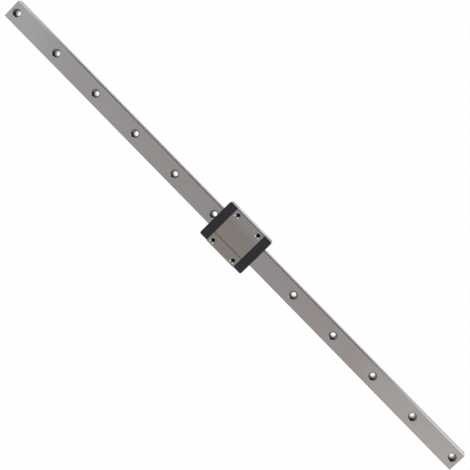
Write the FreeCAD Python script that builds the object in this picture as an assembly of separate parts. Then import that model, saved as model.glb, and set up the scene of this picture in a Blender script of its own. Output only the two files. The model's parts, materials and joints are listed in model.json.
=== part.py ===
import FreeCAD
import Part
import math
import os

# Miniature ball guide: a ground steel rail with a row of bolt holes, and a short carriage that runs along it.
# Sizes are in millimetres. X runs along the rail, Y across it and Z up.
# The origin is the middle of the rail's underside. The carriage's ends are left (-X) and right (+X),
# and its sides are front (-Y) and back (+Y).

# Rail
RAIL_LENGTH = 450.0
RAIL_WIDTH = 15.0
RAIL_HEIGHT = 10.0
RAIL_TOP_CHAMFER = 0.6
RAIL_FOOT_CHAMFER = 0.6

# Bolt holes through the rail: as many as fit at this pitch, centred on its length
HOLE_PITCH = 40.0
HOLE_END_MIN = 5.0
BOLT_HOLE_DIAMETER = 3.5
COUNTERBORE_DIAMETER = 6.0
COUNTERBORE_DEPTH = 4.5
COUNTERBORE_CHAMFER = 0.2

# Balls and their raceways: a pointed-arch groove meets each ball at 45 degrees
BALL_DIAMETER = 3.175
BALL_HEIGHT = 6.4
BALL_SPACING_GAP = 0.05
BALL_RINGS = 6
BALL_SIDES = 8
RACE_RADIUS = 1.68
BALL_CLEARANCE = 0.02

# Carriage as a whole
CARRIAGE_HEIGHT = 16.0
CARRIAGE_REST_X = -2.5
SIDE_GAP = 0.4
ROOF_GAP = 0.6

# Steel body of the carriage
BODY_LENGTH = 26.7
BODY_WIDTH = 32.0
BODY_FOOT_HEIGHT = 4.0
BODY_TOP_CHAMFER = 0.6
BODY_FOOT_CHAMFER = 1.0
DATUM_LINE_Y = 7.35
DATUM_LINE_WIDTH = 0.9
DATUM_LINE_DEPTH = 0.38

# Tapped holes in the top of the body
MOUNT_SPACING_X = 20.0
MOUNT_SPACING_Y = 25.0
MOUNT_DRILL_DIAMETER = 2.5
MOUNT_DRILL_DEPTH = 4.5
MOUNT_SINK_DIAMETER = 4.8
MOUNT_SINK_ANGLE = 120.0
DRILL_POINT_ANGLE = 118.0

# Plastic end caps
CAP_LENGTH = 7.2
CAP_SIDE_INSET = 0.2
CAP_TOP_DROP = 0.8
CAP_FOOT_RISE = 0.3
CAP_CORNER_RADIUS = 1.6
CAP_SHOULDER_RADIUS = 1.0
CAP_EDGE_RADIUS = 0.8
CAP_RAIL_GAP = 0.5

# Rubber end seals, each let into the outer face of its cap
SEAL_TOP_DROP = 0.8
SEAL_THICKNESS = 1.5
SEAL_SET_BACK = 0.2
SEAL_CORNER_RADIUS = 1.0
SEAL_FIT = 0.1
LIP_CLEARANCE = 0.15
LIP_WIDTH = 0.8
LIP_PROUD = 0.15

# Oil port: a collar on the cap that comes through the middle of the seal's web above the rail
PORT_WEB = 0.4
PORT_WALL = 0.3
PORT_PROUD = 0.3
PORT_BORE_DEPTH = 4.0

# Screws that hold each cap to the body
SCREW_SIDE_INSET = 2.2
SCREW_HEIGHT = 8.4
SCREW_DIAMETER = 2.0
SCREW_LENGTH = 10.0
SCREW_HEAD_DIAMETER = 3.4
SCREW_HEAD_HEIGHT = 1.2
SCREW_HEAD_SUNK = 0.2
SCREW_FIT = 0.02
SCREW_HEAD_FIT = 0.1
SCREW_SEAT_WALL = 0.3
SCREW_HOLE_SPARE = 0.6
DRIVE_WIDTH = 0.5
DRIVE_SPAN = 2.0
DRIVE_DEPTH = 0.7

# Worked out from the sizes above
BALL_RADIUS = BALL_DIAMETER / 2
BALL_Y = RAIL_WIDTH / 2 + SIDE_GAP / 2
RACE_SHIFT = (RACE_RADIUS - BALL_RADIUS - BALL_CLEARANCE) * math.sin(math.radians(45))
CHANNEL_ROOF = RAIL_HEIGHT + ROOF_GAP
CAP_FACE_X = BODY_LENGTH / 2 + CAP_LENGTH
CAP_WIDTH = BODY_WIDTH - 2 * CAP_SIDE_INSET
CAP_TOP = CARRIAGE_HEIGHT - CAP_TOP_DROP
CAP_FOOT = BODY_FOOT_HEIGHT + CAP_FOOT_RISE
SCREW_Y = CAP_WIDTH / 2 - SCREW_SIDE_INSET
SCREW_SEAT_RADIUS = SCREW_HEAD_DIAMETER / 2 + SCREW_HEAD_FIT
SEAL_WIDTH = 2 * (SCREW_Y - SCREW_SEAT_RADIUS - SCREW_SEAT_WALL - SEAL_FIT)
SEAL_TOP = CAP_TOP - SEAL_TOP_DROP
SEAL_FACE_X = CAP_FACE_X - SEAL_SET_BACK
SEAL_BACK_X = SEAL_FACE_X - SEAL_THICKNESS
LIP_TOP = RAIL_HEIGHT + LIP_CLEARANCE + LIP_WIDTH
PORT_HEIGHT = (LIP_TOP + SEAL_TOP) / 2
PORT_COLLAR_RADIUS = (SEAL_TOP - LIP_TOP) / 2 - PORT_WEB - SEAL_FIT
PORT_BORE_RADIUS = PORT_COLLAR_RADIUS - PORT_WALL
PORT_FACE_X = SEAL_FACE_X + PORT_PROUD
SCREW_SEAT_X = CAP_FACE_X - SCREW_HEAD_SUNK - SCREW_HEAD_HEIGHT
SCREW_TIP_X = SCREW_SEAT_X - SCREW_LENGTH

# How far a cutting shape runs past the face that it opens
OVERCUT = 1.0

ALONG = FreeCAD.Vector(1, 0, 0)
ACROSS = FreeCAD.Vector(0, 1, 0)
UP = FreeCAD.Vector(0, 0, 1)
CENTRE = FreeCAD.Vector(0, 0, 0)


def at(y, z, x=0.0):
    return FreeCAD.Vector(x, y, z)


def chain(*points):
    """Straight edges from each point to the next."""
    return [Part.LineSegment(a, b).toShape() for a, b in zip(points, points[1:])]


def arc(start, through, end):
    return Part.Arc(start, through, end).toShape()


def rounded(corner, before, after, radius):
    """The arc that rounds a square corner, and the two points where it leaves the sides."""
    to_before = (before - corner).normalize()
    to_after = (after - corner).normalize()
    middle = corner + (to_before + to_after) * (radius * (1 - math.sqrt(0.5)))
    start = corner + to_before * radius
    end = corner + to_after * radius
    return start, arc(start, middle, end), end


def filled(edges):
    """The flat face inside edges that close into one loop."""
    return Part.Face(Part.Wire(Part.__sortEdges__(edges)))


def pushed(face, start, end):
    """A face drawn at x = 0, made solid from one x to another."""
    solid = face.extrude(ALONG * (end - start))
    solid.translate(ALONG * start)
    return solid


def turned(profile, base, axis):
    """A solid of revolution. profile lists (radius, distance along axis) and closes along the axis."""
    points = [FreeCAD.Vector(radius, 0, height) for radius, height in profile]
    solid = Part.Face(Part.makePolygon(points + points[:1])).revolve(CENTRE, UP, 360)
    solid.Placement = FreeCAD.Placement(base, FreeCAD.Rotation(UP, axis))
    return solid


def rod(radius, y, z, start, end):
    """A round bar along the rail, from one x to another."""
    return Part.makeCylinder(radius, end - start, at(y, z, start), ALONG)


def raceway(side, wall_y, opens, radius):
    """The two arcs of a ball groove in an upright wall, and their upper and lower ends.

    opens is 1 for a groove that opens away from the rail's middle and -1 for one that opens towards it.
    """
    centre_y = BALL_Y + opens * RACE_SHIFT
    reach = math.sqrt(radius**2 - (wall_y - centre_y) ** 2)
    apex = at(side * (centre_y - opens * math.sqrt(radius**2 - RACE_SHIFT**2)), BALL_HEIGHT)
    diagonal = radius * math.sqrt(0.5)
    ends = []
    arcs = []
    for up in (1, -1):
        centre_z = BALL_HEIGHT - up * RACE_SHIFT
        end = at(side * wall_y, centre_z + up * reach)
        contact = at(side * (centre_y - opens * diagonal), centre_z + up * diagonal)
        arcs.append(arc(end, contact, apex))
        ends.append(end)
    return arcs, ends[0], ends[1]


def rail_section(grow=0.0):
    """The rail's cross-section, or the outline that stands this far outside it."""
    half = RAIL_WIDTH / 2 + grow
    top = RAIL_HEIGHT + grow
    foot = -grow
    edges = chain(at(RAIL_TOP_CHAMFER - half, top), at(half - RAIL_TOP_CHAMFER, top))
    edges += chain(at(RAIL_FOOT_CHAMFER - half, foot), at(half - RAIL_FOOT_CHAMFER, foot))
    for side in (-1, 1):
        groove, upper, lower = raceway(side, half, 1, RACE_RADIUS - grow)
        edges += groove
        edges += chain(
            at(side * (half - RAIL_TOP_CHAMFER), top), at(side * half, top - RAIL_TOP_CHAMFER), upper
        )
        edges += chain(
            lower, at(side * half, foot + RAIL_FOOT_CHAMFER), at(side * (half - RAIL_FOOT_CHAMFER), foot)
        )
    return filled(edges)


def bolt_hole(x):
    """The space of one counterbored hole, with its mouth broken by a small chamfer."""
    hole = BOLT_HOLE_DIAMETER / 2
    bore = COUNTERBORE_DIAMETER / 2
    seat = RAIL_HEIGHT - COUNTERBORE_DEPTH
    mouth = bore + COUNTERBORE_CHAMFER
    profile = [
        (0, -OVERCUT),
        (hole, -OVERCUT),
        (hole, seat),
        (bore, seat),
        (bore, RAIL_HEIGHT - COUNTERBORE_CHAMFER),
        (mouth, RAIL_HEIGHT),
        (mouth, RAIL_HEIGHT + OVERCUT),
        (0, RAIL_HEIGHT + OVERCUT),
    ]
    return turned(profile, at(0, 0, x), UP)


def rail():
    count = int((RAIL_LENGTH - 2 * HOLE_END_MIN) / HOLE_PITCH + 1e-6) + 1
    first = -(count - 1) * HOLE_PITCH / 2
    bar = pushed(rail_section(), -RAIL_LENGTH / 2, RAIL_LENGTH / 2)
    return bar.cut([bolt_hole(first + i * HOLE_PITCH) for i in range(count)])


def body_section():
    """The body's cross-section: a saddle over the rail, with a raceway in each inner wall."""
    half = BODY_WIDTH / 2
    wall = RAIL_WIDTH / 2 + SIDE_GAP
    top = CARRIAGE_HEIGHT
    foot = BODY_FOOT_HEIGHT
    edges = chain(at(BODY_TOP_CHAMFER - half, top), at(half - BODY_TOP_CHAMFER, top))
    edges += chain(at(-wall, CHANNEL_ROOF), at(wall, CHANNEL_ROOF))
    for side in (-1, 1):
        groove, upper, lower = raceway(side, wall, -1, RACE_RADIUS)
        edges += groove
        edges += chain(at(side * wall, CHANNEL_ROOF), upper)
        edges += chain(
            lower,
            at(side * wall, foot),
            at(side * (half - BODY_FOOT_CHAMFER), foot),
            at(side * half, foot + BODY_FOOT_CHAMFER),
            at(side * half, top - BODY_TOP_CHAMFER),
            at(side * (half - BODY_TOP_CHAMFER), top),
        )
    return filled(edges)


def mount_hole(x, y):
    """The space of one tapped hole: a countersink, the drilled wall and the drill's point."""
    drill = MOUNT_DRILL_DIAMETER / 2
    sink = MOUNT_SINK_DIAMETER / 2
    end = CARRIAGE_HEIGHT - MOUNT_DRILL_DEPTH
    tip = end - drill / math.tan(math.radians(DRILL_POINT_ANGLE / 2))
    sink_depth = (sink - drill) / math.tan(math.radians(MOUNT_SINK_ANGLE / 2))
    profile = [
        (0, tip),
        (drill, end),
        (drill, CARRIAGE_HEIGHT - sink_depth),
        (sink, CARRIAGE_HEIGHT),
        (sink, CARRIAGE_HEIGHT + OVERCUT),
        (0, CARRIAGE_HEIGHT + OVERCUT),
    ]
    return turned(profile, at(y, 0, x), UP)


def datum_line():
    """The shallow V that is scribed along the top to mark the reference side."""
    slope = DATUM_LINE_WIDTH / 2 / DATUM_LINE_DEPTH
    rise = OVERCUT
    half = slope * (DATUM_LINE_DEPTH + rise)
    low = at(DATUM_LINE_Y, CARRIAGE_HEIGHT - DATUM_LINE_DEPTH)
    left = at(DATUM_LINE_Y - half, CARRIAGE_HEIGHT + rise)
    right = at(DATUM_LINE_Y + half, CARRIAGE_HEIGHT + rise)
    return pushed(filled(chain(low, right, left, low)), -BODY_LENGTH / 2, BODY_LENGTH / 2)


def screw_hole(side):
    """The space of one tapped hole in the right-hand end of the body, for a cap screw."""
    bottom = SCREW_TIP_X - SCREW_HOLE_SPARE
    radius = SCREW_DIAMETER / 2 + SCREW_FIT
    return rod(radius, side * SCREW_Y, SCREW_HEIGHT, bottom, BODY_LENGTH / 2 + OVERCUT)


def carriage_body():
    block = pushed(body_section(), -BODY_LENGTH / 2, BODY_LENGTH / 2)
    cuts = [datum_line()]
    for side in (-1, 1):
        for end in (-1, 1):
            cuts.append(mount_hole(end * MOUNT_SPACING_X / 2, side * MOUNT_SPACING_Y / 2))
        right = screw_hole(side)
        cuts += [right, other_end(right)]
    return block.cut(cuts)


def ball_point(centre, ring, side):
    """A point on a ball's surface, counted in rings from its right-hand pole and in sides round the rail."""
    polar = math.pi * ring / BALL_RINGS
    turn = 2 * math.pi * side / BALL_SIDES
    out = BALL_RADIUS * math.sin(polar)
    return centre + at(out * math.cos(turn), out * math.sin(turn), BALL_RADIUS * math.cos(polar))


def ball(centre):
    """A ball in flat facets with their corners on the true sphere, so that a row of them stays light."""
    facets = []
    for ring in range(BALL_RINGS):
        for side in range(BALL_SIDES):
            places = ((ring, side), (ring + 1, side), (ring + 1, side + 1), (ring, side + 1))
            corners = [ball_point(centre, *place) for place in places]
            if ring == 0:
                del corners[3]
            elif ring == BALL_RINGS - 1:
                del corners[2]
            facets.append(Part.Face(Part.makePolygon(corners + corners[:1])))
    shell = Part.Shell(facets)
    shell.sewShape()
    return Part.Solid(shell)


def ball_row(side):
    """The balls that carry the load on one side, between the two raceways."""
    pitch = BALL_DIAMETER + BALL_SPACING_GAP
    count = int(BODY_LENGTH / pitch)
    first = -(count - 1) * pitch / 2
    places = [at(side * BALL_Y, BALL_HEIGHT, first + i * pitch) for i in range(count)]
    return Part.makeCompound([ball(place) for place in places])


def arched_section(width, foot, top, radius):
    """An upright plate with rounded upper corners, seen along the rail."""
    half = width / 2
    edges = chain(at(-half, foot), at(half, foot))
    shoulders = []
    for side in (-1, 1):
        corner = at(side * half, top)
        low, curve, high = rounded(corner, at(side * half, foot), at(0, top), radius)
        edges += chain(at(side * half, foot), low) + [curve]
        shoulders.append(high)
    edges += chain(*shoulders)
    return filled(edges)


def channel_section(side_gap, roof_gap):
    """A plain square channel over the rail, with these gaps beside and above it, open below the cap."""
    half = RAIL_WIDTH / 2 + side_gap
    roof = RAIL_HEIGHT + roof_gap
    low = CAP_FOOT - OVERCUT
    corners = [at(-half, low), at(half, low), at(half, roof), at(-half, roof)]
    return filled(chain(*corners, corners[0]))


def cap_plan():
    """The cap seen from above: square against the body, with rounded outer corners."""
    half = CAP_WIDTH / 2
    inner = BODY_LENGTH / 2
    edges = chain(at(half, 0, inner), at(-half, 0, inner))
    ends = []
    for side in (-1, 1):
        corner = at(side * half, 0, CAP_FACE_X)
        low, curve, high = rounded(corner, at(side * half, 0, inner), at(0, 0, CAP_FACE_X), CAP_CORNER_RADIUS)
        edges += chain(at(side * half, 0, inner), low) + [curve]
        ends.append(high)
    edges += chain(*ends)
    return filled(edges)


def cap_profile():
    """The cap seen from the side, with its outer upper edge rounded."""
    inner = BODY_LENGTH / 2
    corner = at(0, CAP_TOP, CAP_FACE_X)
    low, curve, high = rounded(corner, at(0, 0, CAP_FACE_X), at(0, CAP_TOP, inner), CAP_EDGE_RADIUS)
    return filled(chain(high, at(0, CAP_TOP, inner), at(0, 0, inner), at(0, 0, CAP_FACE_X), low) + [curve])


def end_cap():
    """The right-hand end cap: a moulding with a recess for its seal, an oil port and two screw seats."""
    arch = arched_section(CAP_WIDTH, CAP_FOOT, CAP_TOP, CAP_SHOULDER_RADIUS)
    section = arch.cut(channel_section(CAP_RAIL_GAP, ROOF_GAP))
    profile = cap_profile().extrude(ACROSS * CAP_WIDTH)
    profile.translate(ACROSS * (-CAP_WIDTH / 2))
    cap = pushed(section, BODY_LENGTH / 2, CAP_FACE_X).common(cap_plan().extrude(UP * CARRIAGE_HEIGHT))
    cap = cap.common(profile)
    recess = arched_section(
        SEAL_WIDTH + 2 * SEAL_FIT, CAP_FOOT - OVERCUT, SEAL_TOP + SEAL_FIT, SEAL_CORNER_RADIUS + SEAL_FIT
    )
    collar = rod(PORT_COLLAR_RADIUS, 0, PORT_HEIGHT, SEAL_BACK_X, PORT_FACE_X)
    bore = rod(PORT_BORE_RADIUS, 0, PORT_HEIGHT, PORT_FACE_X - PORT_BORE_DEPTH, PORT_FACE_X + OVERCUT)
    cap = cap.cut(pushed(recess, SEAL_BACK_X, CAP_FACE_X + OVERCUT)).fuse(collar)
    return cap.cut([bore] + [screw_seat(side) for side in (-1, 1)])


def screw_seat(side):
    """The space of a cap screw's head and shank in the cap."""
    shank = SCREW_DIAMETER / 2 + SCREW_FIT
    head = SCREW_SEAT_RADIUS
    profile = [
        (0, BODY_LENGTH / 2 - OVERCUT),
        (shank, BODY_LENGTH / 2 - OVERCUT),
        (shank, SCREW_SEAT_X),
        (head, SCREW_SEAT_X),
        (head, CAP_FACE_X + OVERCUT),
        (0, CAP_FACE_X + OVERCUT),
    ]
    return turned(profile, at(side * SCREW_Y, SCREW_HEIGHT), ALONG)


def end_seal():
    """The right-hand end seal: a plate in the cap's recess with a raised lip round the rail."""
    arch = arched_section(SEAL_WIDTH, CAP_FOOT, SEAL_TOP, SEAL_CORNER_RADIUS)
    plate = arch.cut(rail_section(LIP_CLEARANCE))
    lip = plate.common(channel_section(LIP_CLEARANCE + LIP_WIDTH, LIP_CLEARANCE + LIP_WIDTH))
    port = rod(PORT_COLLAR_RADIUS + SEAL_FIT, 0, PORT_HEIGHT, SEAL_BACK_X - OVERCUT, SEAL_FACE_X + OVERCUT)
    seal = pushed(plate, SEAL_BACK_X, SEAL_FACE_X).cut(port)
    return seal.fuse(pushed(lip, SEAL_BACK_X, SEAL_FACE_X + LIP_PROUD)).removeSplitter()


def cap_screw(side):
    """A right-hand cap screw: a low head with a cross recess, on a plain shank."""
    head = SCREW_HEAD_DIAMETER / 2
    face = SCREW_SEAT_X + SCREW_HEAD_HEIGHT
    profile = [
        (0, SCREW_TIP_X),
        (SCREW_DIAMETER / 2, SCREW_TIP_X),
        (SCREW_DIAMETER / 2, SCREW_SEAT_X),
        (head, SCREW_SEAT_X),
        (head, face),
        (0, face),
    ]
    screw = turned(profile, at(side * SCREW_Y, SCREW_HEIGHT), ALONG)
    slots = []
    for wide, tall in ((DRIVE_SPAN, DRIVE_WIDTH), (DRIVE_WIDTH, DRIVE_SPAN)):
        corner = at(side * SCREW_Y - wide / 2, SCREW_HEIGHT - tall / 2, face - DRIVE_DEPTH)
        slots.append(Part.makeBox(DRIVE_DEPTH + OVERCUT, wide, tall, corner))
    return screw.cut(slots)


def other_end(shape):
    """The same piece turned round to the left-hand end of the carriage."""
    return shape.copy().rotate(CENTRE, UP, 180)


def carriage_pieces():
    """Every piece of the carriage, by name, about the middle of the carriage."""
    pieces = {
        "carriage_body": carriage_body(),
        "ball_row_front": ball_row(-1),
        "ball_row_back": ball_row(1),
    }
    for name, right in (("end_cap", end_cap()), ("end_seal", end_seal())):
        pieces[name + "_right"] = right
        pieces[name + "_left"] = other_end(right)
    for side, here, turned_round in ((-1, "front", "back"), (1, "back", "front")):
        screw = cap_screw(side)
        pieces["cap_screw_right_" + here] = screw
        pieces["cap_screw_left_" + turned_round] = other_end(screw)
    return pieces


def main():
    os.makedirs("parts", exist_ok=True)
    pieces = {"rail": rail()}
    for name, shape in carriage_pieces().items():
        shape.translate(ALONG * CARRIAGE_REST_X)
        pieces[name] = shape
    for name, shape in pieces.items():
        shape.exportStep(os.path.join("parts", name + ".step"))
        print(f"{name}: {len(shape.Solids)} solids, {shape.Volume:.1f} mm3, valid {shape.isValid()}")


main()
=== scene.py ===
"""Finishes a miniature ball guide: a ground steel rail and the short carriage that runs along it.

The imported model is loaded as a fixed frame. Each operator below finishes one piece or one group of like
pieces in that frame, in metres, and the last one sets up the stage. The carriage's ends are left (-X)
and right (+X), and its sides are front (-Y) and back (+Y).
"""

import json
import math

import bpy
from bpy.props import FloatProperty, FloatVectorProperty, IntProperty, PointerProperty
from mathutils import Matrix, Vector


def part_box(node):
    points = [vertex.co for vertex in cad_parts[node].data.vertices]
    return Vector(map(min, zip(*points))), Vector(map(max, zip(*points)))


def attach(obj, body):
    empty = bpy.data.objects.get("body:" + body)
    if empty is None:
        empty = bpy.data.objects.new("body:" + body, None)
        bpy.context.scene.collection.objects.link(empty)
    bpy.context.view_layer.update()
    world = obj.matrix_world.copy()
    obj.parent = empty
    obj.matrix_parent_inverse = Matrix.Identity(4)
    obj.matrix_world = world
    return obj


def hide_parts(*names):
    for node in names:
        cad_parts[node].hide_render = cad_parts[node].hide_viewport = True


bl_info = {
    "name": "Ball Guide Rail",
    "version": (1, 0, 0),
    "blender": (4, 5, 0),
    "location": "3D View > Sidebar > Guide Rail",
    "description": "Finishes a miniature ball guide: rail, carriage, end caps, seals, screws and balls",
    "category": "Object",
}

MM = 0.001
UP = Vector((0, 0, 1))
WHITE = (1.0, 1.0, 1.0, 1.0)

# Meshes: how near points are joined, how thin a sliver goes, and which edges stay sharp.
MERGE_DISTANCE = 0.0005 * MM
SLIVER_WIDTH = 0.002 * MM
SMOOTH_ANGLE = math.radians(25)

# Least cosine of the angle between a direction and the normal of a face that looks that way.
FACING = 0.9

# Depth and flat of a thread, as shares of its pitch.
THREAD_DEPTH = 0.6
THREAD_FLAT = 1 / 8

# A screw's head: segments of its rim, taper of its recess, and the share of it that the shank runs into.
RIM_SEGMENTS = 4
RECESS_TAPER = 0.65
SHANK_OVERLAP = 0.1

# Widths over which one finish gives way to the next: in general, and at the ball grooves. The finish of a
# hole's wall starts and is full this far beside the wall, to take in the flats of its facets.
HAIRLINE = 0.02 * MM
RACE_FADE = 0.05 * MM
WALL_START = 0.10 * MM
WALL_FULL = 0.04 * MM

# Direction of the grinding, a little off the rail's length so that the end faces have a direction too.
GRINDING_DIRECTION = (1.0, 0.02, 0.0)

# Grinding lines to a lane, and the share of single lines in the lined tone.
LANE_STREAKS = 9
STREAK_SHARE = 0.35

# Darkest and lightest tone of a finish, as shares of its colour.
LINE_TONES = (0.94, 1.06)
OILED_TONES = (0.92, 1.04)
TURNED_TONES = (0.8, 1.2)
CUT_TONES = (0.75, 1.0)
PLASTIC_TONES = (0.45, 1.6)
RUBBER_TONES = (0.8, 1.7)
RING_TONES = (0.88, 1.10)
BALL_TONES = (0.94, 1.05)
OIL_TINT = (1.015, 0.985, 0.975)
STAIN_TONE = 0.72

# Noise levels where the clouds of a finish start and are full.
OIL_CLOUDS = (0.42, 0.62)
MOTTLE_CLOUDS = (0.36, 0.64)
BLOOM_CLOUDS = (0.35, 0.75)
STAIN_CLOUDS = (0.45, 0.75)
GREASE_CLOUDS = (0.40, 0.70)

# How far the roughness of a finish goes up and down.
GROUND_SPREAD = 0.03
PLASTIC_SPREAD = 0.06
RUBBER_SPREAD = 0.08
SCREW_SPREAD = 0.06
GREASE_SPREAD = 0.08

# Depth of the surface relief.
GROUND_RELIEF = 0.0008 * MM
PLASTIC_RELIEF = 0.003 * MM
RUBBER_RELIEF = 0.008 * MM
SCREW_RELIEF = 0.002 * MM

# Share of the grain in the plastic's mottled tone.
GRAIN_SHARE = 0.7

# Rises of the card's brightness along X: where each starts, where it ends, and its share of the whole.
CARD_RIGHT_RISES = ((0.02, 0.42, 0.25), (0.47, 0.66, 0.75))
CARD_LEFT_RISES = ((0.0, -0.33, 0.17), (-0.34, -0.39, 0.51), (-0.43, -0.62, 0.32))

# Where the left of the strip and of the surroundings gives way to the right, and the sides to the ends.
STRIP_BLEND = (-0.3, 0.3)
SIDES_BLEND = (-0.3, 0.3)
ENDS_BLEND = (0.6, 0.9)

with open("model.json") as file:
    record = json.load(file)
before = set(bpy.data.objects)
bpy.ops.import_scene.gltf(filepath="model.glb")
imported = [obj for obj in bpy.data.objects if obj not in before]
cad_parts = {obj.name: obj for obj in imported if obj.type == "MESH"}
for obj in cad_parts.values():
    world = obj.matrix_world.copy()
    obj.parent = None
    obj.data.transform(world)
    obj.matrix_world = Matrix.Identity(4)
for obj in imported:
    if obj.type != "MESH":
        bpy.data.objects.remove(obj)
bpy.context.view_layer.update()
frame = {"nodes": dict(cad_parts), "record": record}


def middle(node):
    """The middle of a CAD node's box."""
    low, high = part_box(node)
    return (low + high) / 2


def span(node):
    """The size of a CAD node's box."""
    low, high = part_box(node)
    return high - low


def mount_sizes(name):
    """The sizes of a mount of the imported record, in millimetres."""
    return next(mount["dims"] for mount in frame["record"]["mounts"] if mount["name"] == name)


# The middle pair of bolt holes is one pitch apart.
BOLT_HOLES = mount_sizes("rail_holes_6_6")
RAIL_SPAN = span("rail")
CARRIAGE_MIDDLE = middle("carriage_body")
CARRIAGE_SPAN = span("carriage_body")
CARRIAGE_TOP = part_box("carriage_body")[1].z
TAPPED_HOLES = mount_sizes("carriage_tapped_holes")
TAPPED_X = TAPPED_HOLES["spacing_x_mm"] / 2 * MM
TAPPED_Y = TAPPED_HOLES["spacing_y_mm"] / 2 * MM
SCREW_MIDDLE = middle("cap_screw_right_front")
SCREW_SPAN = span("cap_screw_right_front")


def length(name, description, default):
    """A property for a length."""
    return FloatProperty(name=name, description=description, default=default, unit="LENGTH", precision=5)


def angle(name, description, degrees):
    """A property for an angle."""
    return FloatProperty(name=name, description=description, default=math.radians(degrees), subtype="ANGLE")


def share(name, description, default):
    """A property for a number from 0 to 1."""
    return FloatProperty(name=name, description=description, default=default, min=0, max=1, subtype="FACTOR")


def number(name, description, default):
    """A property for a number that isn't below 0."""
    return FloatProperty(name=name, description=description, default=default, min=0)


def colour(name, description, default):
    """A property for a colour."""
    return FloatVectorProperty(
        name=name, description=description, default=default, size=3, min=0, max=1, subtype="COLOR"
    )


def place(name, description, default):
    """A property for a point in the scene."""
    return FloatVectorProperty(name=name, description=description, default=default, subtype="TRANSLATION")


class GuideRailSteel(bpy.types.PropertyGroup):
    """The ground steel of the rail and of the carriage body."""

    rail: colour("Rail", "Colour of the rail's ground faces", (0.600, 0.553, 0.543))
    carriage: colour("Carriage", "Colour of the carriage's ground faces", (0.475, 0.424, 0.396))
    front_lane: colour("Front lane", "Colour of the carriage's faces near the front", (0.556, 0.507, 0.502))
    race: colour("Raceway", "Colour of the polished ball grooves", (0.72, 0.71, 0.70))
    # Painted light and shade: the drilled bores are painted lighter at their lower ends, where the floor
    # lights them through the hole, and darker at their upper ends.
    bore: colour("Bore", "Colour of the drilled bolt holes at their lower ends", (0.40, 0.395, 0.39))
    bore_top_painted_shade: colour("Bore top", "Colour of the drilled bolt holes at their upper ends", (0.13, 0.125, 0.12))
    # Painted shade: the broken edges of the rail, of the counterbores' mouths and of the carriage are painted
    # much darker than the ground faces.
    edge: colour("Edge", "Colour of the rail's broken edges", (0.270, 0.260, 0.255))
    mouth: colour("Mouth", "Colour of the counterbores' broken edges", (0.30, 0.29, 0.285))
    carriage_edge_painted_shade: colour("Carriage edge", "Colour of the carriage's broken edges", (0.30, 0.285, 0.275))
    # Painted shade: the seats and the walls round the bolt heads are painted darker than the rail's ground
    # faces, as the shade inside the counterbores.
    seat: colour("Seat", "Colour of the seats for the bolt heads", (0.265, 0.255, 0.25))
    counterbore: colour("Counterbore", "Colour of the walls round the bolt heads", (0.52, 0.51, 0.51))
    sink: colour("Sink", "Colour of the countersinks in the carriage's top", (0.47, 0.46, 0.44))
    # Painted shade: the threads in the carriage's holes are painted much darker than the ground faces.
    thread: colour("Thread", "Colour of the oiled threads in the carriage's holes", (0.22, 0.205, 0.19))
    ground_roughness: share("Ground roughness", "Roughness of the ground faces", 0.20)
    grinding: share("Grinding", "How much smoother the ground faces are lengthwise than across", 0.95)
    edge_roughness: share("Edge roughness", "Roughness of the broken edges and of the countersinks", 0.10)
    mouth_roughness: share("Mouth roughness", "Roughness of the counterbores' broken edges", 0.12)
    end_roughness: share("End roughness", "Roughness of the rail's cut ends", 0.32)
    race_roughness: share("Raceway roughness", "Roughness of the ball grooves", 0.10)
    bore_roughness: share("Bore roughness", "Roughness of the drilled bolt holes and of the threads", 0.28)
    seat_roughness: share("Seat roughness", "Roughness of the bolt heads' seats and their walls", 0.15)
    streak_width: length("Streak width", "Width of a grinding line", 0.12 * MM)
    streak_length: length("Streak length", "Length of a grinding line", 18 * MM)
    smudge_size: length("Smudge size", "Size of the faint clouds of oil on the ground faces", 16 * MM)
    tool_mark: length("Tool mark", "Width of a turned line inside a hole", 0.10 * MM)
    hole_pitch: length(
        "Hole pitch", "Distance from one bolt hole to the next", BOLT_HOLES["spacing_x_mm"] * MM
    )
    seat_height: length("Seat height", "Height of the bolt heads' seats above the rail's foot", 5.5 * MM)
    seat_inner: length("Seat inner", "Radius of the bolt hole below the seat", BOLT_HOLES["hole_r_mm"] * MM)
    seat_outer: length("Seat outer", "Radius of the counterbore", 3.0 * MM)
    mouth_outer: length("Mouth outer", "Radius of the counterbore's broken edge", 3.2 * MM)
    sink_reach: length("Sink reach", "Radius of the countersinks in the carriage's top", 2.4 * MM)
    thread_reach: length("Thread reach", "Radius of the oiled threads below the countersinks", 1.58 * MM)
    edge_width: length("Edge width", "Width of the broken upper edges", 0.6 * MM)
    race_low: length("Raceway low", "Lower end of the ball grooves", 4.9 * MM)
    race_high: length("Raceway high", "Upper end of the ball grooves", 7.9 * MM)
    race_inner: length("Raceway inner", "From the middle to the rail grooves' inner reach", 5.5 * MM)
    race_outer: length("Raceway outer", "From the middle to the carriage grooves' outer reach", 9.5 * MM)
    lane_start: length("Lane start", "From the middle to where the front lane starts", 5.0 * MM)
    lane_full: length("Lane full", "From the middle to where the front lane is full", 12.0 * MM)


class GuideRailMouldings(bpy.types.PropertyGroup):
    """The plastic end caps and the rubber seals in them."""

    plastic: colour("Plastic", "Colour of the end caps", (0.0145, 0.0140, 0.0205))
    plastic_roughness: share("Plastic roughness", "Roughness of the end caps", 0.22)
    plastic_grain: length("Plastic grain", "Size of the moulded grain", 0.9 * MM)
    flow_length: length("Flow length", "Length of the flow marks across the end caps", 9.0 * MM)
    flow_width: length("Flow width", "Width of the flow marks", 4.0 * MM)
    rubber: colour("Rubber", "Colour of the end seals", (0.0100, 0.0100, 0.0105))
    rubber_roughness: share("Rubber roughness", "Roughness of the end seals", 0.70)
    rubber_gloss: share("Rubber gloss", "Strength of the end seals' reflection", 0.25)
    rubber_grain: length("Rubber grain", "Size of the rubber's grain", 0.35 * MM)
    rubber_bloom: length("Rubber bloom", "Size of the pale clouds on the rubber", 3.0 * MM)


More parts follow.
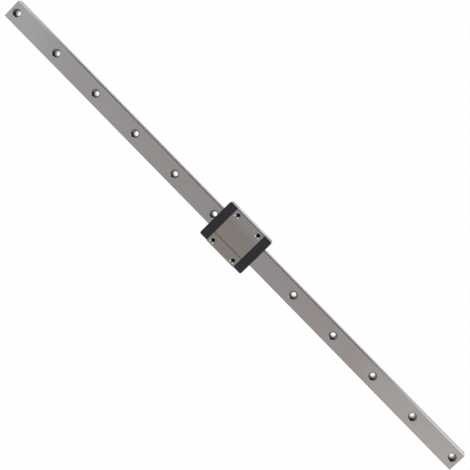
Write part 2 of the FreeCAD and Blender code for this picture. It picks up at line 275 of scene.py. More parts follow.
class GuideRailScrews(bpy.types.PropertyGroup):
    """The four screws that hold the end caps, and the thread in the carriage's holes."""

    steel: colour("Steel", "Colour of the screws", (0.42, 0.41, 0.41))
    roughness: share("Roughness", "Roughness of the screws", 0.30)
    ring_width: length("Ring width", "Width of a turned ring", 0.08 * MM)
    stain_size: length("Stain size", "Size of the stains", 0.6 * MM)
    shank: length("Shank", "Diameter of a screw's thread", 2.0 * MM)
    head_height: length("Head height", "Height of a screw's head", 1.2 * MM)
    head_edge: length("Head edge", "Radius of the head's rounded rim", 0.35 * MM)
    recess_span: length("Recess span", "Span of the cross recess", 2.0 * MM)
    recess_width: length("Recess width", "Width of the cross recess", 0.5 * MM)
    recess_depth: length("Recess depth", "Depth of the cross recess", 0.7 * MM)
    pitch: length("Screw pitch", "Pitch of the screws' thread", 0.4 * MM)
    hole_thread: length("Hole thread", "Diameter of the thread in the carriage's holes", 3.0 * MM)
    hole_pitch: length("Hole thread pitch", "Pitch of the thread in the carriage's holes", 0.5 * MM)
    hole_start: length("Hole start", "Depth below the carriage's top where the thread starts", 0.3 * MM)
    hole_depth: length("Hole depth", "Depth below the carriage's top where the thread ends", 3.9 * MM)
    sides: IntProperty(name="Sides", description="Sides of a round screw or thread", default=40, min=12)


class GuideRailBalls(bpy.types.PropertyGroup):
    """The balls that carry the load between the raceways."""

    steel: colour("Steel", "Colour of the balls", (0.70, 0.69, 0.68))
    roughness: share("Roughness", "Roughness of the balls", 0.06)
    grease_size: length("Grease size", "Size of the traces of grease", 1.1 * MM)
    gap: length("Gap", "Space from one ball to the next", 0.05 * MM)
    cuts: IntProperty(name="Cuts", description="Cuts across each side of a ball's mesh", default=7, min=3)


class GuideRailStage(bpy.types.PropertyGroup):
    """Floor, surroundings, the panels that the metal reflects, and the camera."""

    aim: place("Aim", "Where the camera's axis meets the floor", (-0.61 * MM, 1.06 * MM, 0))
    distance: length("Distance", "From the aim to the camera", 837.75 * MM)
    tilt: angle("Tilt", "The camera's tilt from straight down towards the front", 8.37)
    lean: angle("Lean", "The camera's lean from straight down towards the left", 0.61)
    roll: angle("Roll", "The camera's turn about its own axis", 225.606)
    lens: number("Lens", "Focal length in millimetres", 89.74)
    floor_size: length("Floor size", "Side of the square floor", 8.0)
    floor: colour("Floor", "Colour of the floor", (0.90, 0.90, 0.90))
    floor_glow: share("Floor glow", "Share of the floor that shows as plain white", 0.985)
    right_side: colour("Right side", "Colour of the surroundings beyond the right end", (0.72, 0.75, 0.76))
    left_side: colour("Left side", "Colour of the surroundings beyond the left end", (1.0, 0.985, 0.965))
    lower: number("Lower", "Brightness of the surroundings near the floor", 1.25)
    lower_ends: number("Lower ends", "Brightness near the floor beyond the rail's ends", 0.75)
    upper: number("Upper", "Brightness of the surroundings higher up", 0.5)
    upper_start: angle("Upper start", "Elevation where the surroundings start to get greyer", 14)
    upper_full: angle("Upper full", "Elevation where the surroundings are fully grey", 22)
    card: colour("Card", "Colour of the grey card overhead", (0.519, 0.521, 0.529))
    card_right: colour("Card right", "Colour of the card's right end", (0.790, 0.858, 0.892))
    card_left: colour("Card left", "Colour of the card's left end", (0.788, 0.804, 0.790))
    card_low: place("Card low", "Front left corner of the grey card", (-0.64, -0.90, 1.4))
    card_high: place("Card high", "Back right corner of the grey card", (0.66, 1.20, 1.4))
    flag: share("Flag", "Brightness of the dark flag in front", 0.22)
    flag_low: place("Flag low", "Lower left corner of the dark flag", (-0.58, -1.5, 0.0))
    flag_high: place("Flag high", "Upper right corner of the dark flag", (0.65, -1.5, 0.90))
    flag_left: length("Flag left", "Width over which the flag fades out on the left", 0.26)
    flag_right: length("Flag right", "Width over which the flag fades out on the right", 0.18)
    strip_left: number("Strip left", "Brightness of the left half of the strip behind the flag", 3.0)
    strip_right: number("Strip right", "Brightness of the right half of the strip behind the flag", 2.3)
    strip_low: place("Strip low", "Lower left corner of the strip behind the flag", (-1.3, -1.55, 0.0))
    strip_high: place("Strip high", "Upper right corner of the strip behind the flag", (1.3, -1.55, 0.55))
    gear: share("Gear", "Brightness of the dark gear round the camera", 0.04)
    gear_low: place("Gear low", "Front left corner of the dark gear", (-0.60, -0.32, 0.87))
    gear_high: place("Gear high", "Back right corner of the dark gear", (0.60, -0.03, 0.87))
    light: number("Light", "Brightness of the two lights in front", 1.5)
    light_low: place("Light low", "Lower inner corner of the light on the right", (0.9, -1.5, 0.9))
    light_high: place("Light high", "Upper outer corner of the light on the right", (3.0, -1.5, 2.6))


class GuideRailSettings(bpy.types.PropertyGroup):
    """All the sizes and colours of the guide."""

    steel: PointerProperty(type=GuideRailSteel)
    mouldings: PointerProperty(type=GuideRailMouldings)
    screws: PointerProperty(type=GuideRailScrews)
    balls: PointerProperty(type=GuideRailBalls)
    stage: PointerProperty(type=GuideRailStage)


def shade(value, factor=1.0):
    """A colour with its alpha, made lighter or darker by a factor."""
    return tuple(min(1.0, channel * factor) for channel in value) + (1.0,)


class Nodes:
    """A node tree under construction, with short calls for the few kinds of node that are used here."""

    def __init__(self, tree, coordinates):
        self.tree = tree
        tree.nodes.clear()
        self.coordinates = self.add("ShaderNodeTexCoord").outputs[coordinates]
        axes = self.add("ShaderNodeSeparateXYZ", Vector=self.coordinates)
        self.x, self.y, self.z = axes.outputs

    def add(self, kind, settings=None, **inputs):
        """A node with these settings, and a value or a link on each named input."""
        node = self.tree.nodes.new(kind)
        for name, value in (settings or {}).items():
            setattr(node, name, value)
        for name, value in inputs.items():
            self.give(node.inputs[name.replace("_", " ")], value)
        return node

    def give(self, socket, value):
        """Puts a value or a link on an input."""
        if isinstance(value, bpy.types.NodeSocket):
            self.tree.links.new(value, socket)
        else:
            socket.default_value = value

    def fill(self, node, places, values):
        """The same node with a value or a link on each input, by the inputs' places."""
        for index, value in zip(places, values):
            self.give(node.inputs[index], value)
        return node

    def math(self, operation, *values):
        """The result of one operation on some numbers."""
        node = self.add("ShaderNodeMath", {"operation": operation})
        return self.fill(node, range(len(values)), values).outputs[0]

    def radius(self, a, b):
        """How far a point is from an axis, from its two distances."""
        squares = [self.math("MULTIPLY", value, value) for value in (a, b)]
        return self.math("SQRT", self.math("ADD", *squares))

    def noise(self, sizes, detail=3.0):
        """Noise whose marks have these sizes along X, Y and Z."""
        scale = tuple(1 / size for size in sizes)
        placed = self.add("ShaderNodeMapping", Vector=self.coordinates, Scale=scale)
        node = self.add("ShaderNodeTexNoise", Vector=placed.outputs[0], Scale=1.0, Detail=detail)
        return node.outputs[0]

    def lines(self, distance, width, detail):
        """Noise in lines of this width, one after the other along a distance."""
        settings = {"noise_dimensions": "1D"}
        node = self.add("ShaderNodeTexNoise", settings, W=distance, Scale=1 / width, Detail=detail)
        return node.outputs[0]

    def rises(self, value, start, end):
        """A mask that goes smoothly from 0 at start to 1 at end."""
        settings = {"interpolation_type": "SMOOTHSTEP"}
        node = self.add("ShaderNodeMapRange", settings, Value=value, From_Min=start, From_Max=end)
        return node.outputs[0]

    def beyond(self, value, limit):
        """A mask that is 1 from a limit on."""
        return self.rises(value, limit - HAIRLINE, limit)

    def within(self, value, limit):
        """A mask that is 1 up to a limit."""
        return self.rises(value, limit + HAIRLINE, limit)

    def both(self, a, b):
        """A mask that is 1 where two masks are."""
        return self.math("MULTIPLY", a, b)

    def mix(self, mask, a, b):
        """A number that is a where the mask is 0 and b where it is 1."""
        node = self.add("ShaderNodeMix", {"data_type": "FLOAT"})
        return self.fill(node, (0, 2, 3), (mask, a, b)).outputs[0]

    def mix_colours(self, mask, a, b):
        """A colour that is a where the mask is 0 and b where it is 1."""
        node = self.add("ShaderNodeMix", {"data_type": "RGBA"})
        return self.fill(node, (0, 6, 7), (mask, a, b)).outputs[2]

    def mix_shaders(self, mask, a, b):
        """A shader that is a where the mask is 0 and b where it is 1."""
        node = self.add("ShaderNodeMixShader")
        return self.fill(node, (0, 1, 2), (mask, a, b)).outputs[0]


class Surface(Nodes):
    """A material under construction."""

    def __init__(self, name):
        self.material = bpy.data.materials.new(name)
        self.material.use_nodes = True
        super().__init__(self.material.node_tree, "Object")
        self.output = self.add("ShaderNodeOutputMaterial").inputs["Surface"]

    def show(self, shader):
        """The material, with this shader for its surface."""
        self.give(self.output, shader)
        return self.material

    def glow(self, tint, strength=1.0):
        """The material, glowing in this colour."""
        return self.show(self.add("ShaderNodeEmission", Color=tint, Strength=strength).outputs[0])


class Finish(Surface):
    """A material under construction for a solid piece."""

    def __init__(self, name):
        super().__init__(name)
        self.shader = self.add("ShaderNodeBsdfPrincipled")
        self.show(self.shader.outputs[0])

    def set(self, **inputs):
        """Puts values or links on the shader's own inputs."""
        for name, value in inputs.items():
            self.give(self.shader.inputs[name.replace("_", " ")], value)

    def bump(self, height, depth):
        """Gives the surface a relief of this depth."""
        node = self.add("ShaderNodeBump", Height=height, Distance=depth, Strength=1.0)
        self.set(Normal=node.outputs[0])

    def layered(self, tint, rough, *layers):
        """Colour and roughness after more layers, each with its mask, its colour and its roughness."""
        for mask, layer_tint, layer_rough in layers:
            tint = self.mix_colours(mask, tint, layer_tint)
            rough = self.mix(mask, rough, layer_rough)
        return tint, rough

    def tones(self, mask, base, tones):
        """A colour that goes from its darkest to its lightest tone as the mask goes from 0 to 1."""
        darkest, lightest = tones
        return self.mix_colours(mask, shade(base, darkest), shade(base, lightest))

    def around(self, mask, value, spread):
        """A number that goes from just below a value to just above it as the mask goes from 0 to 1."""
        return self.mix(mask, value - spread, value + spread)


def ground_steel(finish, steel, base):
    """Colour, roughness and relief of a face that is ground lengthwise, with a faint film of oil."""
    streak = (steel.streak_length, steel.streak_width, steel.streak_width)
    smudge = (2 * steel.smudge_size, steel.smudge_size, steel.smudge_size)
    streaks = finish.noise(streak, detail=4.0)
    lanes = finish.noise([LANE_STREAKS * size for size in streak])
    smudges = finish.noise(smudge, detail=2.0)
    lined = finish.mix(STREAK_SHARE, lanes, streaks)
    oiled = tuple(channel * factor for channel, factor in zip(base, OIL_TINT))
    tint = finish.mix_colours(
        finish.rises(smudges, *OIL_CLOUDS),
        finish.tones(lined, base, LINE_TONES),
        finish.tones(lined, oiled, OILED_TONES),
    )
    return tint, finish.around(streaks, steel.ground_roughness, GROUND_SPREAD), streaks


def ground_lengthwise(finish, grinding):
    """Makes reflections spread across the rail and stay sharp along it."""
    normal = finish.add("ShaderNodeNewGeometry").outputs["Normal"]
    across = finish.add("ShaderNodeVectorMath", {"operation": "CROSS_PRODUCT"})
    finish.fill(across, (0, 1), (normal, GRINDING_DIRECTION))
    finish.set(Anisotropic=grinding, Tangent=across.outputs[0])


def raceways(finish, steel, beside):
    """A mask for the ball grooves: their height, on the faces that another mask gives."""
    above = finish.rises(finish.z, steel.race_low - RACE_FADE, steel.race_low + RACE_FADE)
    below = finish.rises(finish.z, steel.race_high + RACE_FADE, steel.race_high - RACE_FADE)
    return finish.both(beside, finish.both(above, below))


def upper_edges(finish, across, half_width, top, width):
    """A mask for the broken edges along a top, where painted shade goes."""
    return finish.both(finish.beyond(across, half_width - width), finish.beyond(finish.z, top - width))


def bolt_hole(finish, steel, from_axis, turned):
    """Colour and roughness in a bolt hole: its turned seat and the wall round that, both with painted shade,
    and the drilled bore, with painted light low down and painted shade higher up.
    """
    wall = finish.rises(from_axis, steel.seat_outer - WALL_START, steel.seat_outer - WALL_FULL)
    bore = finish.rises(from_axis, steel.seat_inner + WALL_START, steel.seat_inner + WALL_FULL)
    # Painted light and shade: the bore's colour goes from painted light at its foot to painted shade near its
    # top.
    upwards = finish.rises(finish.z, 0.0, steel.seat_height)
    bore_painted_light_and_shade = finish.mix_colours(upwards, shade(steel.bore), shade(steel.bore_top_painted_shade))
    tint = finish.tones(turned, steel.seat, TURNED_TONES)
    tint = finish.mix_colours(wall, tint, shade(steel.counterbore))
    tint = finish.mix_colours(bore, tint, bore_painted_light_and_shade)
    return tint, finish.mix(bore, steel.seat_roughness, steel.bore_roughness)


def rail_steel(steel):
    """The rail's finish: ground faces, broken edges with painted shade, raceways, cut ends, and turned bolt
    holes with painted light and shade.
    """
    finish = Finish("rail_steel_ground")
    tint, rough, relief = ground_steel(finish, steel, steel.rail)
    across = finish.math("ABSOLUTE", finish.y)
    race = raceways(finish, steel, finish.beyond(across, steel.race_inner))
    edge = upper_edges(finish, across, RAIL_SPAN.y / 2, RAIL_SPAN.z, steel.edge_width)
    end = finish.beyond(finish.math("ABSOLUTE", finish.x), RAIL_SPAN.x / 2)
    cut = finish.noise((steel.streak_width, steel.streak_length, steel.streak_width), detail=4.0)
    half_pitch = steel.hole_pitch / 2
    off_hole = finish.math("SUBTRACT", half_pitch, finish.math("PINGPONG", finish.x, half_pitch))
    from_axis = finish.radius(off_hole, finish.y)
    turned = finish.lines(finish.math("ADD", from_axis, finish.z), steel.tool_mark, detail=3.0)
    hole = finish.within(from_axis, steel.seat_outer)
    hole_tint_with_painted_light_and_shade, hole_rough = bolt_hole(finish, steel, from_axis, turned)
    mouth_foot = RAIL_SPAN.z - (steel.mouth_outer - steel.seat_outer)
    mouth = finish.both(finish.within(from_axis, steel.mouth_outer), finish.beyond(finish.z, mouth_foot))
    # Painted shade on the broken edges, the mouths and the holes' seats and walls, and painted light low in
    # the bores.
    tint, rough = finish.layered(
        tint,
        rough,
        (race, shade(steel.race), steel.race_roughness),
        (edge, shade(steel.edge), steel.edge_roughness),
        (hole, hole_tint_with_painted_light_and_shade, hole_rough),
        (end, finish.tones(cut, steel.rail, CUT_TONES), steel.end_roughness),
        (mouth, shade(steel.mouth), steel.mouth_roughness),
    )
    finish.set(Base_Color=tint, Metallic=1.0, Roughness=rough)
    ground_lengthwise(finish, finish.mix(finish.math("MAXIMUM", hole, mouth), steel.grinding, 0.0))
    finish.bump(finish.mix(end, finish.mix(hole, relief, turned), cut), GROUND_RELIEF)
    return finish.material


def carriage_steel(steel):
    """The carriage's finish: browner ground faces, lighter near the front, raceways, broken edges with
    painted shade, and tapped holes with painted shade in their threads.
    """
    finish = Finish("carriage_steel_ground")
    tint, rough, relief = ground_steel(finish, steel, steel.carriage)
    lane = finish.rises(finish.y, -steel.lane_start, -steel.lane_full)
    tint = finish.mix_colours(lane, tint, shade(steel.front_lane))
    across = finish.math("ABSOLUTE", finish.y)
    along = finish.math("ABSOLUTE", finish.math("SUBTRACT", finish.x, CARRIAGE_MIDDLE.x))
    race = raceways(finish, steel, finish.within(across, steel.race_outer))
    edge = upper_edges(finish, across, CARRIAGE_SPAN.y / 2, CARRIAGE_TOP, steel.edge_width)
    from_axis = finish.radius(
        finish.math("SUBTRACT", along, TAPPED_X), finish.math("SUBTRACT", across, TAPPED_Y)
    )
    sunk = finish.within(finish.z, CARRIAGE_TOP - HAIRLINE)
    sink = finish.both(finish.within(from_axis, steel.sink_reach), sunk)
    thread = finish.within(from_axis, steel.thread_reach)
    # Painted shade: the broken edges and the threads are painted darker than the ground faces.
    tint, rough = finish.layered(
        tint,
        rough,
        (race, shade(steel.race), steel.race_roughness),
        (edge, shade(steel.carriage_edge_painted_shade), steel.edge_roughness),
        (sink, shade(steel.sink), steel.edge_roughness),
        (thread, shade(steel.thread), steel.bore_roughness),
    )
    finish.set(Base_Color=tint, Metallic=1.0, Roughness=rough)
    ground_lengthwise(finish, steel.grinding)
    finish.bump(relief, GROUND_RELIEF)
    return finish.material


def cap_plastic(mouldings):
    """Black plastic with a fine spark-eroded grain and faint flow marks."""
    finish = Finish("cap_plastic_grained")
    grain = finish.noise((mouldings.plastic_grain,) * 3, detail=2.0)
    flow = finish.noise((mouldings.flow_width, mouldings.flow_length, mouldings.flow_width), detail=2.0)
    mottled = finish.rises(finish.mix(GRAIN_SHARE, flow, grain), *MOTTLE_CLOUDS)
    finish.set(
        Base_Color=finish.tones(mottled, mouldings.plastic, PLASTIC_TONES),
        Roughness=finish.around(grain, mouldings.plastic_roughness, PLASTIC_SPREAD),
    )
    finish.bump(grain, PLASTIC_RELIEF)
    return finish.material


def seal_rubber(mouldings):
    """Matt black rubber with a faint bloom."""
    finish = Finish("seal_rubber_matt")
    grain = finish.noise((mouldings.rubber_grain,) * 3, detail=4.0)
    bloom = finish.rises(finish.noise((mouldings.rubber_bloom,) * 3), *BLOOM_CLOUDS)
    finish.set(
        Base_Color=finish.tones(bloom, mouldings.rubber, RUBBER_TONES),
        Roughness=finish.around(grain, mouldings.rubber_roughness, RUBBER_SPREAD),
        Specular_IOR_Level=mouldings.rubber_gloss,
    )
    finish.bump(grain, RUBBER_RELIEF)
    return finish.material


def screw_steel(screws):
    """Plain steel with turned rings about each screw's own axis and a few stains."""
    finish = Finish("screw_steel_turned")
    off_y = finish.math("SUBTRACT", finish.math("ABSOLUTE", finish.y), abs(SCREW_MIDDLE.y))
    off_z = finish.math("SUBTRACT", finish.z, SCREW_MIDDLE.z)
    rings = finish.lines(finish.radius(off_y, off_z), screws.ring_width, detail=2.0)
    stained = finish.rises(finish.noise((screws.stain_size,) * 3), *STAIN_CLOUDS)
    plain = finish.tones(rings, screws.steel, RING_TONES)
    finish.set(
        Base_Color=finish.mix_colours(stained, plain, shade(screws.steel, STAIN_TONE)),
        Metallic=1.0,
        Roughness=finish.around(rings, screws.roughness, SCREW_SPREAD),
    )
    finish.bump(rings, SCREW_RELIEF)
    return finish.material


def ball_steel(balls):
    """Polished bearing steel with a trace of grease."""
    finish = Finish("ball_steel_polished")
    grease = finish.noise((balls.grease_size,) * 3, detail=2.0)
    greased = finish.rises(grease, *GREASE_CLOUDS)
    finish.set(
        Base_Color=finish.tones(grease, balls.steel, BALL_TONES),
        Metallic=1.0,
        Roughness=finish.mix(greased, balls.roughness, balls.roughness + GREASE_SPREAD),
    )
    return finish.material


def select_only(piece):
    """Selects a piece and nothing else."""
    bpy.ops.object.select_all(action="DESELECT")
    piece.select_set(True)
    bpy.context.view_layer.objects.active = piece


def settle(piece):
    """Puts a piece's place, turn and scale into its mesh."""
    select_only(piece)
    bpy.ops.object.transform_apply(location=True, rotation=True, scale=True)
    return piece


def pick_faces(piece, direction):
    """Goes into edit mode with the faces selected that look in a direction."""
    select_only(piece)
    bpy.ops.object.mode_set(mode="EDIT")
    bpy.ops.mesh.select_mode(type="FACE")
    bpy.ops.mesh.select_all(action="DESELECT")
    bpy.ops.object.mode_set(mode="OBJECT")
    for face in piece.data.polygons:
        face.select = face.normal.dot(direction) > FACING
    bpy.ops.object.mode_set(mode="EDIT")


def apply_modifiers(piece):
    """Applies a piece's modifiers in their order."""
    select_only(piece)
    for modifier in list(piece.modifiers):
        bpy.ops.object.modifier_apply(modifier=modifier.name)


def clean(piece):
    """Joins points that lie together, removes slivers and turns every face outwards."""
    select_only(piece)
    bpy.ops.object.mode_set(mode="EDIT")
    bpy.ops.mesh.select_all(action="SELECT")
    bpy.ops.mesh.remove_doubles(threshold=MERGE_DISTANCE)
    bpy.ops.mesh.dissolve_degenerate(threshold=SLIVER_WIDTH)
    bpy.ops.mesh.normals_make_consistent(inside=False)
    bpy.ops.object.mode_set(mode="OBJECT")


def combine(piece, other, operation):
    """Cuts another solid out of a piece, or adds it, and removes the other."""
    boolean = piece.modifiers.new("combine", "BOOLEAN")
    boolean.operation = operation
    boolean.solver = "EXACT"
    boolean.object = other
    apply_modifiers(piece)
    bpy.data.objects.remove(other)


def copied(piece):
    """A copy of a piece with a mesh of its own."""
    select_only(piece)
    bpy.ops.object.duplicate(linked=False)
    return bpy.context.object


def dress(node, material):
    """Gives a CAD node that keeps its shape a finish."""
    frame["nodes"][node].material_slots[0].material = material


def deliver(piece, name, material, node):
    """Names a finished piece, gives it its finish and puts it in the place of a CAD node on the carriage."""
    select_only(piece)
    bpy.ops.object.shade_smooth_by_angle(angle=SMOOTH_ANGLE)
    piece.name = name
    piece.data.name = name
    piece.data.materials.clear()
    piece.data.materials.append(material)
    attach(piece, "carriage")
    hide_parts(node)


def threaded_rod(radius, pitch, low, high, sides):
    """A closed rod along Z with a thread on it, cut off square at both ends."""
    depth = THREAD_DEPTH * pitch
    flat = THREAD_FLAT * pitch
    flank = pitch / 2 - flat
    bpy.ops.object.select_all(action="DESELECT")
    bpy.ops.mesh.primitive_plane_add(size=pitch, location=(radius - depth, 0, low - pitch))
    rod = settle(bpy.context.object)
    bpy.ops.object.mode_set(mode="EDIT")
    bpy.ops.mesh.select_mode(type="VERT")
    bpy.ops.mesh.select_all(action="SELECT")
    bpy.ops.mesh.merge(type="CENTER")
    for out, up in ((0, flat), (depth, flank), (0, flat), (-depth, flank)):
        bpy.ops.mesh.extrude_vertices_move(TRANSFORM_OT_translate={"value": (out, 0, up)})
    bpy.ops.object.mode_set(mode="OBJECT")
    screw = rod.modifiers.new("thread", "SCREW")
    screw.screw_offset = pitch
    screw.iterations = math.ceil((high - low) / pitch) + 1
    screw.steps = sides
    screw.render_steps = sides
    apply_modifiers(rod)
    clean(rod)
    bpy.ops.object.mode_set(mode="EDIT")
    for height, upwards in ((low, -1), (high, 1)):
        bpy.ops.mesh.select_all(action="SELECT")
        bpy.ops.mesh.bisect(
            plane_co=(0, 0, height),
            plane_no=(0, 0, upwards),
            use_fill=True,
            clear_outer=True,
            threshold=MERGE_DISTANCE,
        )
    bpy.ops.object.mode_set(mode="OBJECT")
    clean(rod)
    return rod


def cap_screw(screws):
    """A cap screw along Z, with the seat of its round-edged, cross-recessed head at the origin."""
    height = screws.head_height
    bpy.ops.object.select_all(action="DESELECT")
    bpy.ops.mesh.primitive_cylinder_add(
        vertices=screws.sides, radius=SCREW_SPAN.y / 2, depth=height, location=(0, 0, height / 2)
    )
    screw = settle(bpy.context.object)
    pick_faces(screw, UP)
    bpy.ops.mesh.bevel(offset=screws.head_edge, segments=RIM_SEGMENTS, affect="EDGES")
    bpy.ops.object.mode_set(mode="OBJECT")
    for turn in (0, math.pi / 2):
        bpy.ops.object.select_all(action="DESELECT")
        bpy.ops.mesh.primitive_cube_add(size=1, location=(0, 0, height), rotation=(0, 0, turn))
        wing = bpy.context.object
        wing.scale = (screws.recess_span, screws.recess_width, 2 * screws.recess_depth)
        settle(wing)
        pick_faces(wing, -UP)
        bpy.ops.transform.resize(value=(RECESS_TAPER, RECESS_TAPER, 1), center_override=(0, 0, 0))
        bpy.ops.object.mode_set(mode="OBJECT")
        combine(screw, wing, "DIFFERENCE")
    reach = SCREW_SPAN.x - height
    shank = threaded_rod(screws.shank / 2, screws.pitch, -reach, SHANK_OVERLAP * height, screws.sides)
    combine(screw, shank, "UNION")
    clean(screw)
    return screw


def tapped_body(screws):
    """A merged copy of the carriage body with the four threads cut into its mounting holes."""
    body = bpy.data.objects.new("carriage_body_tapped", frame["nodes"]["carriage_body"].data.copy())
    bpy.context.scene.collection.objects.link(body)
    select_only(body)
    bpy.ops.mesh.customdata_custom_splitnormals_clear()
    clean(body)
    low = CARRIAGE_TOP - screws.hole_depth
    high = CARRIAGE_TOP - screws.hole_start
    cutter = threaded_rod(screws.hole_thread / 2, screws.hole_pitch, low, high, screws.sides)
    for end in (-1, 1):
        for side in (-1, 1):
            tool = copied(cutter)
            tool.location.x = CARRIAGE_MIDDLE.x + end * TAPPED_X
            tool.location.y = side * TAPPED_Y
            combine(body, settle(tool), "DIFFERENCE")
    bpy.data.objects.remove(cutter)
    clean(body)
    return body


def ball_row(node, balls):
    """A row of round balls in the place of a CAD row: each ball is a cube that is cut up and cast round."""
    low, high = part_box(node)
    diameter = high.z - low.z
    pitch = diameter + balls.gap
    bpy.ops.object.select_all(action="DESELECT")
    bpy.ops.mesh.primitive_cube_add(size=diameter)
    row = bpy.context.object
    bpy.ops.object.mode_set(mode="EDIT")
    bpy.ops.mesh.select_all(action="SELECT")
    bpy.ops.mesh.subdivide(number_cuts=balls.cuts)
    bpy.ops.object.mode_set(mode="OBJECT")
    cast = row.modifiers.new("round", "CAST")
    cast.factor = 1
    cast.size = diameter / 2
    array = row.modifiers.new("row", "ARRAY")
    array.count = round((high.x - low.x - diameter) / pitch) + 1
    array.use_relative_offset = False
    array.use_constant_offset = True
    array.constant_offset_displace = (pitch, 0, 0)
    apply_modifiers(row)
    row.location = (low.x + diameter / 2, (low.y + high.y) / 2, (low.z + high.z) / 2)
    return settle(row)


class GUIDERAIL_OT_rail(bpy.types.Operator):
    """Give the rail its ground steel"""

    bl_idname = "guide_rail.rail"
    bl_label = "Rail"

    def execute(self, context):
        dress("rail", rail_steel(context.scene.guide_rail.steel))
        return {"FINISHED"}


class GUIDERAIL_OT_carriage_body(bpy.types.Operator):
    """Tap the carriage body's four mounting holes and give it its ground steel"""

    bl_idname = "guide_rail.carriage_body"
    bl_label = "Carriage Body"

    def execute(self, context):
        settings = context.scene.guide_rail
        body = tapped_body(settings.screws)
        steel = carriage_steel(settings.steel)
        deliver(body, "carriage_body_tapped", steel, "carriage_body")
        return {"FINISHED"}


class GUIDERAIL_OT_end_caps(bpy.types.Operator):
    """Give both end caps their grained plastic"""

    bl_idname = "guide_rail.end_caps"
    bl_label = "End Caps"

    def execute(self, context):
        plastic = cap_plastic(context.scene.guide_rail.mouldings)
        for end in ("left", "right"):
            dress("end_cap_" + end, plastic)
        return {"FINISHED"}


class GUIDERAIL_OT_end_seals(bpy.types.Operator):
    """Give both end seals their matt rubber"""

    bl_idname = "guide_rail.end_seals"
    bl_label = "End Seals"

    def execute(self, context):
        rubber = seal_rubber(context.scene.guide_rail.mouldings)
        for end in ("left", "right"):
            dress("end_seal_" + end, rubber)
        return {"FINISHED"}


class GUIDERAIL_OT_cap_screws(bpy.types.Operator):
    """Model one cap screw and put a copy in each of the four places"""

    bl_idname = "guide_rail.cap_screws"
    bl_label = "Cap Screws"

    def execute(self, context):
        screws = context.scene.guide_rail.screws
        pattern = cap_screw(screws)
        steel = screw_steel(screws)
        for end, outwards in (("left", -1), ("right", 1)):
            for side in ("front", "back"):
                node = f"cap_screw_{end}_{side}"
                low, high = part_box(node)
                tip = high.x if outwards < 0 else low.x
                screw = copied(pattern)
                screw.rotation_euler.y = outwards * math.pi / 2
                screw.location = middle(node)
                screw.location.x = tip + outwards * (SCREW_SPAN.x - screws.head_height)
                deliver(settle(screw), node + "_threaded", steel, node)
        bpy.data.objects.remove(pattern)
        return {"FINISHED"}


class GUIDERAIL_OT_ball_rows(bpy.types.Operator):
    """Model the two rows of balls"""

    bl_idname = "guide_rail.ball_rows"
    bl_label = "Ball Rows"

    def execute(self, context):
        balls = context.scene.guide_rail.balls
        steel = ball_steel(balls)
        for side in ("front", "back"):
            node = "ball_row_" + side
            deliver(ball_row(node, balls), node + "_round", steel, node)
        return {"FINISHED"}


def stage_panel(name, low, high, material):
    """A flat rectangle of the stage between two corners."""
    low, high = Vector(low), Vector(high)
    size = high - low
    upright = size.z > 0
    bpy.ops.object.select_all(action="DESELECT")
    bpy.ops.mesh.primitive_plane_add(
        size=1, location=(low + high) / 2, rotation=(math.pi / 2 if upright else 0, 0, 0)
    )
    panel = bpy.context.object
    panel.scale = (size.x, size.z if upright else size.y, 1)
    settle(panel)
    panel.name = name
    panel.data.materials.append(material)
    return panel


def pale_floor(stage):
    """A white floor that shows plain white to the eye and to metal, and still keeps a soft shadow."""
    finish = Finish("pale_floor")
    finish.set(Base_Color=shade(stage.floor), Roughness=1.0, Specular_IOR_Level=0.0)
    path = finish.add("ShaderNodeLightPath").outputs
    seen = finish.math("MAXIMUM", path["Is Camera Ray"], path["Is Glossy Ray"])
    seen = finish.math("MAXIMUM", seen, path["Is Transmission Ray"])
    shown = finish.math("MULTIPLY", seen, stage.floor_glow)
    white = finish.add("ShaderNodeEmission", Color=WHITE, Strength=1.0)
    return finish.show(finish.mix_shaders(shown, finish.shader.outputs[0], white.outputs[0]))


def grey_card(stage):
    """The card overhead: slowly brighter towards both ends, with a seam on the left."""
    surface = Surface("grey_card")
    tint = shade(stage.card)
    for rises, end_tint in ((CARD_RIGHT_RISES, stage.card_right), (CARD_LEFT_RISES, stage.card_left)):
        mask = 0.0
        for start, end, part in rises:
            mask = surface.math("MULTIPLY_ADD", surface.rises(surface.x, start, end), part, mask)
        tint = surface.mix_colours(mask, tint, shade(end_tint))
    return surface.glow(tint)


def dark_flag(stage):
    """The dark flag in front, which fades out towards both ends."""
    surface = Surface("dark_flag")
    left, right = stage.flag_low[0], stage.flag_high[0]
    faded = surface.math(
        "MAXIMUM",
        surface.rises(surface.x, left + stage.flag_left, left),
        surface.rises(surface.x, right - stage.flag_right, right),
    )
    dark = surface.add("ShaderNodeEmission", Color=WHITE, Strength=stage.flag)
    clear = surface.add("ShaderNodeBsdfTransparent")
    return surface.show(surface.mix_shaders(faded, dark.outputs[0], clear.outputs[0]))


def light_strip(stage):
    """The low bright strip behind the flag."""
    surface = Surface("light_strip")
    rightwards = surface.rises(surface.x, *STRIP_BLEND)
    return surface.glow(WHITE, surface.mix(rightwards, stage.strip_left, stage.strip_right))


def reflected_panels(stage):
    """The panels that only reflections show: card, flag, strip, the gear round the camera, and two lights."""
    near, far = Vector(stage.light_low), Vector(stage.light_high)
    to_left = Vector((-far.x - near.x, 0, 0))
    light = Surface("soft_light").glow(WHITE, stage.light)
    gear = Surface("dark_gear").glow(WHITE, stage.gear)
    for panel in (
        stage_panel("grey_card", stage.card_low, stage.card_high, grey_card(stage)),
        stage_panel("dark_flag", stage.flag_low, stage.flag_high, dark_flag(stage)),
        stage_panel("light_strip", stage.strip_low, stage.strip_high, light_strip(stage)),
        stage_panel("dark_gear", stage.gear_low, stage.gear_high, gear),
        stage_panel("light_right", near, far, light),
        stage_panel("light_left", near + to_left, far + to_left, light),
    ):
        panel.visible_camera = False
        panel.visible_shadow = False


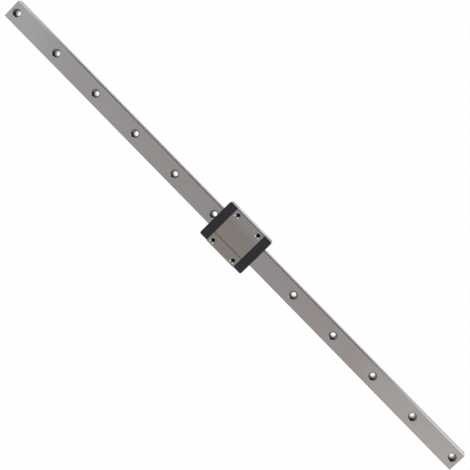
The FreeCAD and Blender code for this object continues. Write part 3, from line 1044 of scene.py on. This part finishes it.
def surroundings(stage):
    """Pale surroundings, cooler on one side, dimmer beyond the rail's ends and greyer higher up."""
    world = bpy.data.worlds.new("studio")
    bpy.context.scene.world = world
    world.use_nodes = True
    sky = Nodes(world.node_tree, "Generated")
    rightwards = sky.rises(sky.x, *SIDES_BLEND)
    tint = sky.mix_colours(rightwards, shade(stage.left_side), shade(stage.right_side))
    ends = sky.rises(sky.math("ABSOLUTE", sky.x), *ENDS_BLEND)
    higher = sky.rises(sky.z, math.sin(stage.upper_start), math.sin(stage.upper_full))
    strength = sky.mix(higher, sky.mix(ends, stage.lower, stage.lower_ends), stage.upper)
    background = sky.add("ShaderNodeBackground", Color=tint, Strength=strength)
    sky.add("ShaderNodeOutputWorld", Surface=background.outputs[0])


def overhead_camera(stage):
    """The scene's camera, which looks down on the guide from a little in front."""
    bpy.ops.object.select_all(action="DESELECT")
    bpy.ops.object.camera_add()
    camera = bpy.context.object
    camera.rotation_mode = "ZYX"
    camera.rotation_euler = (stage.tilt, -stage.lean, stage.roll)
    backwards = camera.rotation_euler.to_matrix().col[2]
    camera.location = Vector(stage.aim) + stage.distance * backwards
    camera.data.lens = stage.lens
    bpy.context.scene.camera = camera


class GUIDERAIL_OT_stage(bpy.types.Operator):
    """Set up the floor, the reflected panels, the surroundings and the camera"""

    bl_idname = "guide_rail.stage"
    bl_label = "Stage"

    def execute(self, context):
        stage = context.scene.guide_rail.stage
        half = stage.floor_size / 2
        stage_panel("floor", (-half, -half, 0), (half, half, 0), pale_floor(stage))
        reflected_panels(stage)
        surroundings(stage)
        overhead_camera(stage)
        context.scene.view_settings.view_transform = "Standard"
        return {"FINISHED"}


STEPS = (
    GUIDERAIL_OT_rail,
    GUIDERAIL_OT_carriage_body,
    GUIDERAIL_OT_end_caps,
    GUIDERAIL_OT_end_seals,
    GUIDERAIL_OT_cap_screws,
    GUIDERAIL_OT_ball_rows,
    GUIDERAIL_OT_stage,
)


class GUIDERAIL_PT_steps(bpy.types.Panel):
    """The guide's pieces and its stage"""

    bl_idname = "GUIDERAIL_PT_steps"
    bl_label = "Ball Guide Rail"
    bl_space_type = "VIEW_3D"
    bl_region_type = "UI"
    bl_category = "Guide Rail"

    def draw(self, context):
        for step in STEPS:
            self.layout.operator(step.bl_idname)


CLASSES = (
    GuideRailSteel,
    GuideRailMouldings,
    GuideRailScrews,
    GuideRailBalls,
    GuideRailStage,
    GuideRailSettings,
    *STEPS,
    GUIDERAIL_PT_steps,
)


def register():
    """Makes the settings, the operators and the panel known to Blender."""
    for item in CLASSES:
        bpy.utils.register_class(item)
    bpy.types.Scene.guide_rail = PointerProperty(type=GuideRailSettings)


def unregister():
    """Takes them out again, in the opposite order."""
    del bpy.types.Scene.guide_rail
    for item in reversed(CLASSES):
        bpy.utils.unregister_class(item)


def main():
    """Finishes every piece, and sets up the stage."""
    register()
    bpy.ops.guide_rail.rail()
    bpy.ops.guide_rail.carriage_body()
    bpy.ops.guide_rail.end_caps()
    bpy.ops.guide_rail.end_seals()
    bpy.ops.guide_rail.cap_screws()
    bpy.ops.guide_rail.ball_rows()
    bpy.ops.guide_rail.stage()


if __name__ == "__main__":
    main()
